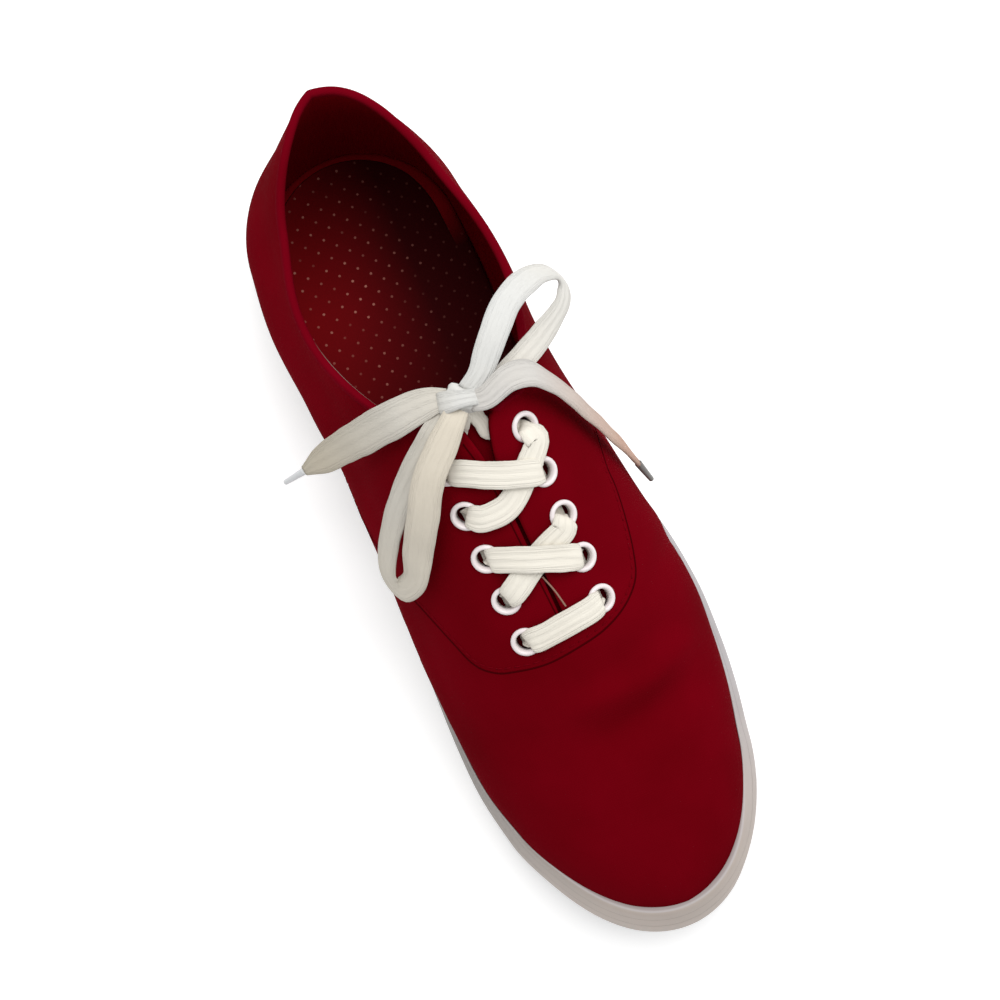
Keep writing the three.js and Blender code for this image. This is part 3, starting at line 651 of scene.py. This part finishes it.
def through(name, towards, rising):
    # The lace passing a hole: from the side it comes from, or goes to, down under the canvas.
    # Columns: how far from the hole's middle, height over the canvas, and the width's share.
    hole = holes[name]
    step = (Vector(towards[:2]) - hole).normalized()
    passing = [(0.6, -3.6, 0.62), (0.6, -1.4, 0.62), (1.0, 0.7, 0.8), (2.4, 1.5, 0.97)]
    points = [(*(hole + step * away), height, width) for away, height, width in passing]
    return points if rising else points[::-1]


def wide(points):
    return [(*p, 1) for p in points]


def halfLacing(strapA, first, second, strapB, third, fourth, strapC, fifth, exits):
    return [*wide(strapA[::-1]), *through(first, strapA[0], False),
            *through(second, strapB[0], True), *wide(strapB), *through(third, strapB[-1], False),
            *through(fourth, strapC[0], True), *wide(strapC), *through(fifth, strapC[-1], False), *exits]


exits = {"outer": [(-11, 26, -3.4, 0.8), (-6.4, 31, -1.6, 0.7)],
         "inner": [(4.4, 23, -3.6, 0.6), (-0.6, 23.2, -3.4, 0.6), (-1.9, 26.8, -2.8, 0.55),
                   (-3.6, 31.5, -1.2, 0.6)]}
outerHalf = halfLacing(straps["barOuter"], "outer1", "outer2", straps["lowUnder"], "inner3", "inner4",
                       straps["highOver"], "outer5", exits["outer"])
innerHalf = halfLacing(straps["barInner"], "inner1", "inner2", straps["lowOver"], "outer3", "outer4",
                       straps["highUnder"], "inner5", exits["inner"])
run = {"step": 0.7, "near": 5, "seed": 20.0, "gathered": 0.9}
line = splined(outerHalf[::-1] + innerHalf[1:], run["step"])
placed = [overSkin(p.x, p.y, p.z) for p in line]
centres = [p for p, _ in placed]
normals = []
for i, p in enumerate(line):
    before, after = line[max(i - run["near"], 0)], line[min(i + run["near"], len(line) - 1)]
    heading = Vector((after.x - before.x, after.y - before.y, 0)).normalized()
    acrossWay = heading.cross(placed[i][1])
    along = centres[min(i + 1, len(line) - 1)] - centres[max(i - 1, 0)]
    normals.append(acrossWay.cross(along).normalized())
widths = [lace["width"] * p.w for p in line]
thicknesses = thickening(line, run["gathered"])
pieceOf(ribbonShape(centres, normals, widths, thicknesses, run["seed"]), "laceRun", laceCloth,
        ["lace_bar", "lace_cross_lower", "lace_cross_upper"])
print("lacing made")

# Eyelets: a turned ring, its profile from the barrel's foot over the top to the rim.
ring = {"steps": 32, "thickness": 0.25,
        "radiusHeight": [(2.95, -2.3), (2.9, -0.4), (3.0, 0.35), (3.2, 0.75), (3.55, 0.98), (3.9, 0.92),
                         (4.25, 0.66), (4.47, 0.36), (4.5, 0.1), (4.35, 0.02)]}


def standing(x, y):
    # Where a piece stands on the skin at x, y, and which way it faces.
    spot, normal = overSkin(x, y)
    return Matrix.Translation(spot * mm) @ Vector((0, 0, 1)).rotation_difference(normal).to_matrix().to_4x4()


for side, spots in eyelets.items():
    for row, (x, y) in enumerate(spots):
        build = bmesh.new()
        profile = [build.verts.new((r * mm, 0, h * mm)) for r, h in ring["radiusHeight"]]
        edges = [build.edges.new(pair) for pair in zip(profile, profile[1:])]
        bmesh.ops.spin(build, geom=profile + edges, cent=(0, 0, 0), axis=(0, 0, 1), angle=2 * math.pi,
                       steps=ring["steps"], use_merge=True)
        bmesh.ops.recalc_face_normals(build, faces=build.faces)
        top = max(build.faces, key=lambda face: face.calc_center_median().z)
        if top.normal.z < 0:
            bmesh.ops.reverse_faces(build, faces=build.faces)
        build.transform(standing(x, y))
        eyelet = pieceOf(build, "eyelet" + side.capitalize() + str(row + 1), enamel,
                         ["eyelet_" + side + "_" + str(row + 1)])
        modified(eyelet, "SOLIDIFY", thickness=ring["thickness"] * mm, offset=-1)
print("eyelets made")

# The upper's canvas, from the feather edge to the collar and the throat.
upper = {"columns": 400, "rows": 64, "heldTo": 0.15, "unevenness": 0.35, "grain": 0.045}
tops = []
upperCurves = []
for i in range(upper["columns"]):
    curve = section(*sideOf(i / upper["columns"]))
    upperCurves.append(curve)
    tops.append(topOf(curve))

# Soft troughs and ridges worn into the canvas: from and to in plan, half width, height.
creases = [
    ((-10, -60), (14, -61), 4.2, 1.9),
    ((14, -61), (33, -55), 4.2, 1.7),
    ((4, -51), (30, -48), 5.0, -0.6),
    ((-6, -72), (28, -69), 6.0, -2.2),
    ((-36, -58), (-20, -66), 5.0, -0.5),
    ((30, -34), (42, -24), 5.0, -0.7),
    ((30, -26), (44, -14), 4.5, 0.5),
    ((-44, -20), (-34, -44), 6.0, -0.6),
]
# Broader swells in the sides: the middle, half width, height.
waves = [(-44, 70, 48, 10, -0.8), (-44, 52, 40, 9, 0.7), (-42, 40, 50, 8, -0.7), (42, 62, 46, 11, -0.8),
         (43, 44, 44, 9, 0.6), (-36, 104, 50, 12, -0.7), (36, 100, 46, 12, -0.6), (-40, 20, 46, 9, 0.5)]


def relief(p):
    # How far the worn canvas stands out of its plain shape at p.
    total = 0.0
    for (ax, ay), (bx, by), half, height in creases:
        a, b = Vector((ax, ay)), Vector((bx, by))
        t = (p.xy - a).dot(b - a) / (b - a).length_squared
        if -0.4 < t < 1.4 and p.z > 30:
            away = (p.xy - a.lerp(b, t)).length / half
            total += height * math.exp(-away * away) * ease(t, -0.35, 0.3) * (1 - ease(t, 0.7, 1.35))
    for x, y, z, half, height in waves:
        away = (p - Vector((x, y, z))).length / half
        if away < 3:
            total += height * math.exp(-away * away)
    return total + upper["unevenness"] * noise.noise(p * upper["grain"])


def upperAt(i, j):
    i %= upper["columns"]
    share = j / upper["rows"]
    p = onCurve(upperCurves[i], tops[i] * share)
    spine = p.y if abs(p.y) < 100 else math.copysign(100, p.y)
    out = p - Vector((p.x * 0.15, spine, 20))
    return p + out.normalized() * relief(p) * ease(share, 0, upper["heldTo"])


build = gridShape(upper["columns"], upper["rows"], upperAt)
faceOut(build, Vector((0, 0, 40)))
upperPiece = pieceOf(build, "upperCanvas", canvas, ["upper"])
upperPiece.data.materials.append(lining)
modified(upperPiece, "SOLIDIFY", thickness=shoe["canvas"] * mm, offset=-1, material_offset=1,
         material_offset_rim=0)

# Holes for the eyelets, cut by ten posts.
bore = {"radius": 3.3, "depth": 12, "sides": 24}
posts = bmesh.new()
for spots in eyelets.values():
    for x, y in spots:
        bmesh.ops.create_cone(posts, cap_ends=True, segments=bore["sides"], radius1=bore["radius"] * mm,
                              radius2=bore["radius"] * mm, depth=bore["depth"] * mm, matrix=standing(x, y))
postMesh = bpy.data.meshes.new("posts")
posts.to_mesh(postMesh)
posts.free()
post = bpy.data.objects.new("posts", postMesh)
bpy.context.scene.collection.objects.link(post)
modified(upperPiece, "BOOLEAN", operation="DIFFERENCE", object=post, solver="EXACT")
cutMesh = bpy.data.meshes.new_from_object(upperPiece.evaluated_get(bpy.context.evaluated_depsgraph_get()))
upperPiece.modifiers.clear()
upperPiece.data = cutMesh
bpy.data.objects.remove(post)
print("upper made")

# Binding rolled over the collar's edge: its profile's distance down the wall and out of it.
roll = {"profile": [(2.2, -0.1), (2.1, 0.2), (1.4, 0.32), (0.5, 0.36), (-0.25, 0.2), (-0.6, -0.4),
                    (-0.65, -1.2), (-0.4, -1.95), (0.4, -2.35), (1.5, -2.38), (2.2, -2.3), (2.3, -1.9)],
        "front": 28}
firstColumn = next(i for i in range(upper["columns"])
                   if tops[i] > 0.999 or upperAt(i, upper["rows"]).y < roll["front"])
edgeColumns = [k % upper["columns"] for k in range(-firstColumn + 1, firstColumn)]
edges = []
for i in edgeColumns:
    top, below = upperAt(i, upper["rows"]), upperAt(i, upper["rows"] - 3)
    after, before = upperAt(i + 1, upper["rows"]), upperAt(i - 1, upper["rows"])
    down = (below - top).normalized()
    along = (after - before).normalized()
    out = along.cross(down).normalized()
    if out.dot(nearSkin(top)[1]) < 0:
        out = -out
    edges.append((top, down, out))


def rollAt(i, k):
    top, down, out = edges[i]
    fall, proud = roll["profile"][k]
    return top + down * fall + out * proud


build = gridShape(len(edges) - 1, len(roll["profile"]) - 1, rollAt)
faceOut(build, Vector((0, 80, 60)))
modified(pieceOf(build, "collarBinding", binding, ()), "SUBSURF", levels=1, render_levels=1)
print("binding made")

# Seams, draped over the canvas along their points.
seamGrid = {"across": 4, "step": 1.0, "height": 0.22, "sunk": 0.12, "weld": 0.001}
seams = {
    "vamp": {"width": 0.6, "height": 0.18, "points": [
        (-46, 45, 20), (-46, 38, 31), (-46, 26, 39), (-46, 10, 44.5), (-45, -2, 49), (-39.8, -11.7, 54.6),
        (-35.1, -25.4, 58.7), (-31.2, -35.1, 60.2), (-26.1, -39.8, 62.8), (-20, -41.7, 65.3),
        (-11.2, -43.1, 67.5), (-1.2, -42.4, 68.8), (8.6, -40.5, 68.4), (17.2, -36.4, 67),
        (23.2, -30.7, 65.4), (26, -24, 65.2), (27.9, -15.3, 65), (29.6, -3.9, 65.6), (30, 4, 66),
        (31.5, 14, 62), (35.5, 24, 51), (39, 32, 38), (42, 38, 20)]},
    "slitOuter": {"width": 0.4, "points": [
        (-3.2, -34, 74), (-4.2, -20, 78), (-5.2, -4, 83), (-6.4, 12, 89), (-9, 24, 93)]},
    "heel": {"width": 0.6, "points": [(-7, 150, 24), (-6.4, 150, 40), (-4.6, 148, 56), (-1.6, 144, 72)]},
    "slitEdge": {"width": 0.5, "height": 0.3, "points": [
        (-2.8, -17.9, 74), (-1.1, -23.6, 73.4), (0.1, -29.2, 72)]},
}


def draped(points, width, height):
    line = splined([(*nearSkin(p)[0], 1) for p in points], seamGrid["step"])
    placed = [nearSkin(p.xyz, height + relief(p.xyz)) for p in line]
    count = len(placed)

    def placeAt(k, i):
        here, normal = placed[i]
        along = placed[min(i + 1, count - 1)][0] - placed[max(i - 1, 0)][0]
        across = along.cross(normal).normalized()
        side = k / seamGrid["across"] * 2 - 1
        return here + across * side * width / 2 - normal * seamGrid["sunk"] * side * side

    return gridShape(seamGrid["across"], count - 1, placeAt, seamGrid["weld"]), placed


for name, seam in seams.items():
    build, seam["placed"] = draped(seam["points"], seam["width"], seam.get("height", seamGrid["height"]))
    upward = sum(face.normal.dot(nearSkin(face.calc_center_median() / mm)[1]) for face in build.faces)
    if upward < 0:
        bmesh.ops.reverse_faces(build, faces=build.faces)
    pieceOf(build, name + "Seam", slitEdge if name == "slitEdge" else seamLine, ())

# A row of stitches beside the vamp's seam.
stitch = {"length": 2.0, "every": 2.9, "thick": 0.3, "beside": 1.6, "above": 0.02}
build = bmesh.new()
travelled = 0.0
for a, b in zip(seams["vamp"]["placed"][2:], seams["vamp"]["placed"][4:]):
    travelled += (b[0] - a[0]).length / 2
    if travelled < stitch["every"]:
        continue
    travelled = 0.0
    along = (b[0] - a[0]).normalized()
    across = along.cross(a[1]).normalized()
    beside = a[0] - across * stitch["beside"]
    centre, normal = nearSkin(beside, stitch["above"] + relief(beside))
    turned = Matrix((along, normal.cross(along), normal)).transposed().to_4x4()
    size = Matrix.Diagonal((stitch["length"] * mm, stitch["thick"] * mm, stitch["thick"] * mm, 1))
    bmesh.ops.create_cube(build, size=1, matrix=Matrix.Translation(centre * mm) @ turned @ size)
pieceOf(build, "vampStitches", thread, ())
print("seams made")

# The tongue, lying under the throat along the ridge.
tongue = {"from": 0.645, "to": 0.396, "half": 19, "topHalf": 25, "under": 4.4, "thickness": 1.6,
          "columns": 30, "rows": 40}


def tongueAt(k, i):
    share = i / tongue["rows"]
    at = mix(tongue["from"], tongue["to"], share)
    half = mix(tongue["half"], tongue["topHalf"], share)
    side = k / tongue["columns"] * 2 - 1
    x = ridgeAcross(at) + side * half * math.sqrt(1 - 0.25 * ease(share, 0.9, 1) * side * side)
    return overSkin(x - middleX, shoe["length"] * (0.5 - at), -tongue["under"])[0]


build = gridShape(tongue["columns"], tongue["rows"], tongueAt)
faceOut(build, Vector((0, 0, 0)))
modified(pieceOf(build, "tongueCloth", canvas, ["tongue"]), "SOLIDIFY",
         thickness=tongue["thickness"] * mm, offset=-1)

# The insole's cloth has rows of dots: their pitch in metres, their radius as a share of it.
dots = {"pitch": 0.0068, "radius": 0.065}


def gridFrom(made, value, shift):
    cell = maths(made, "ADD", maths(made, "DIVIDE", value, dots["pitch"]), shift)
    return maths(made, "SUBTRACT", maths(made, "FRACT", cell), 0.5)


def dotField(made, places, shift):
    x = gridFrom(made, places["X"], shift)
    y = gridFrom(made, places["Y"], shift)
    squares = maths(made, "ADD", maths(made, "MULTIPLY", x, x), maths(made, "MULTIPLY", y, y))
    return maths(made, "LESS_THAN", maths(made, "SQRT", squares), dots["radius"])


def insoleFinish():
    made = startFinish("insoleCloth", (0.082, 0.0014, 0.0034), 0.85, 0.06)
    space = objectSpace(made)
    places = partsOf(made, space)
    # the colour of the painted shade
    dark = (0.034, 0.0006, 0.0014)

    # The dots are rubbed off unevenly by noise, and fade as painted shade towards the inner side and the toe.
    both = maths(made, "MAXIMUM", dotField(made, places, 0.0), dotField(made, places, 0.5))
    strewn = maths(made, "MULTIPLY", both, ranged(made, noiseOf(made, space, 90, 2), 0.35, 0.65, 0.2, 1))
    strewn = maths(made, "MULTIPLY", strewn, ranged(made, places["X"], -0.02, 0.012, 1, 0.2))
    strewn = maths(made, "MULTIPLY", strewn, ranged(made, places["Y"], 0.05, 0.10, 0.35, 1))

    # The cloth carries painted shade the same two ways: darker at the inner side, in the inner wall's shadow,
    # and darker towards the toe, where it runs in under the upper.
    wearAndShade = blended(made, ranged(made, places["X"], -0.038, 0.005), (0.20, 0.0024, 0.0046), dark)
    wearAndShade = blended(made, ranged(made, places["Y"], 0.09, 0.03, 0, 0.85), wearAndShade, dark)
    dotted = blended(made, strewn, wearAndShade, (0.46, 0.18, 0.14))

    # Round the heel its rim cups up without dots, over a near-black line of painted shade in the fold at the
    # cup's foot.
    rimward = partsOf(made, threadSpace(made))["Y"]
    heelward = ranged(made, places["Y"], 0.095, 0.11)
    cupped = maths(made, "MULTIPLY", maths(made, "GREATER_THAN", rimward, 0.86), heelward)
    foldShade = maths(made, "MULTIPLY", heelward, maths(made, "COMPARE", rimward, 0.852))
    withRim = blended(made, cupped, dotted, (0.22, 0.0015, 0.0050))
    feed(made, "Base Color", blended(made, foldShade, withRim, (0.020, 0.0003, 0.0006)))
    feed(made, "Normal", bumped(made, noiseOf(made, space, 900, 2), 0.0001, 0.3))
    return made


# The insole: rings from its middle line out to the edge, cupped up round the heel.
insole = {"columns": 240, "rows": 20, "inset": 4.7, "cup": 1.6, "ends": (0.06, 0.94), "thickness": 3.5}


def insoleAt(i, j):
    turn, side = sideOf((i % insole["columns"]) / insole["columns"])
    edge = outline(turn, side, insole["inset"])
    at = min(max(shareAt(turn), insole["ends"][0]), insole["ends"][1])
    centre = Vector((middleAt(at), at * shoe["length"]))
    share = j / insole["rows"]
    cup = insole["cup"] * ease(share, 0.55, 1) * (1 - ease(edge.y / shoe["length"], 0.45, 0.7))
    return lift(centre.lerp(edge, share), shoe["footbed"] + shoe["gap"] + shoe["insole"] + cup)


build = gridShape(insole["columns"], insole["rows"], insoleAt)
faceOut(build, Vector((0, 0, -300)))
modified(pieceOf(build, "insoleSock", insoleFinish(), ["insole"]), "SOLIDIFY",
         thickness=insole["thickness"] * mm, offset=-1)
print("tongue and insole made")

# The foxing's wall: rows are whole numbers at the foot, the two grooves and the top.
# It closes over the top, one row inset and one at the lip, then down the inside at these heights.
foxing = {"columns": 1760, "groove": 0.6, "rib": 0.6, "ribPitch": 2.1, "ribRows": (0.13, 0.62),
          "ribZones": [(0.045, 0.13), (0.165, 0.6)], "spread": 2.2, "spreadFrom": 0.45, "spreadTo": 0.6,
          "rows": [0, 0.05, 0.1, 0.13, 0.3, 0.5, 0.62, 0.66, 0.72, 0.9, 0.955, 0.985, 1, 1.015, 1.045, 1.3,
                   1.7, 1.955, 1.985, 2, 2.015, 2.1, 2.5, 2.8, 2.93, 3],
          "closing": [("top", 1.6), ("top", None), ("inside", 14), ("inside", 5), ("inside", None)],
          "inside": 2.7, "crown": 0.15, "clear": 0.35}
bases = []
for i in range(foxing["columns"]):
    turn, side = sideOf(i / foxing["columns"])
    rim, inner = outline(turn, side), outline(turn, side, 1)
    toe = toeShare(turn)
    foot, top = mix(shoe["foot"], shoe["toeFoot"], toe), mix(shoe["height"], shoe["toeHeight"], toe)

    # The lip reaches the canvas, whose place at the wall's top is found by halving.
    curve = section(turn, side)
    level = lift(rim, top).z
    low, high = 0.0, 0.6
    for _ in range(12):
        middle = (low + high) / 2
        low, high = (low, middle) if onCurve(curve, middle).z > level else (middle, high)
    beside = onCurve(curve, low) - lift(rim, top)
    inward = lift(inner, top) - lift(rim, top)
    lip = max(beside.xy.dot(inward.xy.normalized()), 0.9)
    fuller = (foxing["spread"] * ease(shareAt(turn), foxing["spreadFrom"], foxing["spreadTo"])
              * (1 - ease(shareAt(turn), 0.88, 1)))
    belly = shoe["belly"] + (fuller if side > 0 else 0)
    bases.append((rim, inner - rim, foot, top, toe, lip, leanAt(turn), belly))
runs = [0.0]
for a, b in zip(bases, bases[1:]):
    runs.append(runs[-1] + (b[0] - a[0]).length)
wallRows = len(foxing["rows"])
closing = foxing["closing"]


def foxingAt(i, j):
    i %= foxing["columns"]
    rim, inward, foot, top, toe, lip, lean, belly = bases[i]
    if j >= wallRows + len(closing):
        j = 0
    if j < wallRows:
        row = foxing["rows"][j]
        knots = [0, mix(0.49, 0.45, toe), mix(0.84, 0.75, toe), 1]
        k = min(int(row), 2)
        share = mix(knots[k], knots[k + 1], row - k)
        inset = lean * share - belly * math.sin(math.pi * share)
        inset += 1.0 * (1 - ease(row, 0, 0.1)) + 0.7 * ease(row, 2.85, 3)
        if row in (1, 2):
            inset += foxing["groove"]
        at = rim.y / shoe["length"]
        zone = max(ease(at, a, a + 0.01) * (1 - ease(at, b - 0.03, b)) for a, b in foxing["ribZones"])
        low, high = foxing["ribRows"]
        inset = min(inset, lip - foxing["clear"])
        if low <= row <= high:
            inset += foxing["rib"] * zone * (0.5 + 0.5 * math.cos(2 * math.pi * runs[i] / foxing["ribPitch"]))
        return lift(rim + inward * inset, mix(foot, top, share))
    kind, value = closing[j - wallRows]
    if kind == "top":
        inset = min(lean + value, lip - foxing["crown"]) if value else lip
        return lift(rim + inward * inset, top + (foxing["crown"] if value else 0))
    return lift(rim + inward * foxing["inside"], value or foot)


build = gridShape(foxing["columns"], wallRows + len(closing), foxingAt, 0.002)
faceOut(build, Vector((0, 0, 14)))
pieceOf(build, "foxingBand", rubber, ["midsole"])
print("foxing made")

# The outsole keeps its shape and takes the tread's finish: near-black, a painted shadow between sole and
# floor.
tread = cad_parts["outsole"]
tread.data.materials.clear()
tread.data.materials.append(treadShadowBlack)

# Floor and light.
studio = {"floor": 3, "glow": 0.36, "sky": 0.61}
floorFinish = startFinish("floorPaper", (0.86, 0.86, 0.86), 0.9, 0.0)
shaderOf(floorFinish).inputs["Emission Color"].default_value = (1, 1, 1, 1)
shaderOf(floorFinish).inputs["Emission Strength"].default_value = studio["glow"]
build = bmesh.new()
bmesh.ops.create_grid(build, x_segments=1, y_segments=1, size=studio["floor"])
floorMesh = bpy.data.meshes.new("floor")
build.to_mesh(floorMesh)
build.free()
floor = bpy.data.objects.new("floor", floorMesh)
floorMesh.materials.append(floorFinish)
bpy.context.scene.collection.objects.link(floor)

world = bpy.data.worlds.new("studio")
world.use_nodes = True
world.node_tree.nodes["Background"].inputs["Color"].default_value = (1, 1, 1, 1)
world.node_tree.nodes["Background"].inputs["Strength"].default_value = studio["sky"]
bpy.context.scene.world = world
bpy.context.scene.view_settings.view_transform = "Standard"
lamps = {"key": ((0.14, 0.3, 0.75), 0.55, 4.1), "fill": ((0.6, 0.0, 0.7), 0.7, 1.0)}
for name, (at, across, power) in lamps.items():
    lamp = bpy.data.lights.new(name, "AREA")
    lamp.size = across
    lamp.energy = power
    holder = bpy.data.objects.new(name, lamp)
    holder.location = at
    holder.rotation_euler = (Vector((0, 0, 0.04)) - Vector(at)).to_track_quat("-Z", "Y").to_euler()
    bpy.context.scene.collection.objects.link(holder)
print("floor and light made")
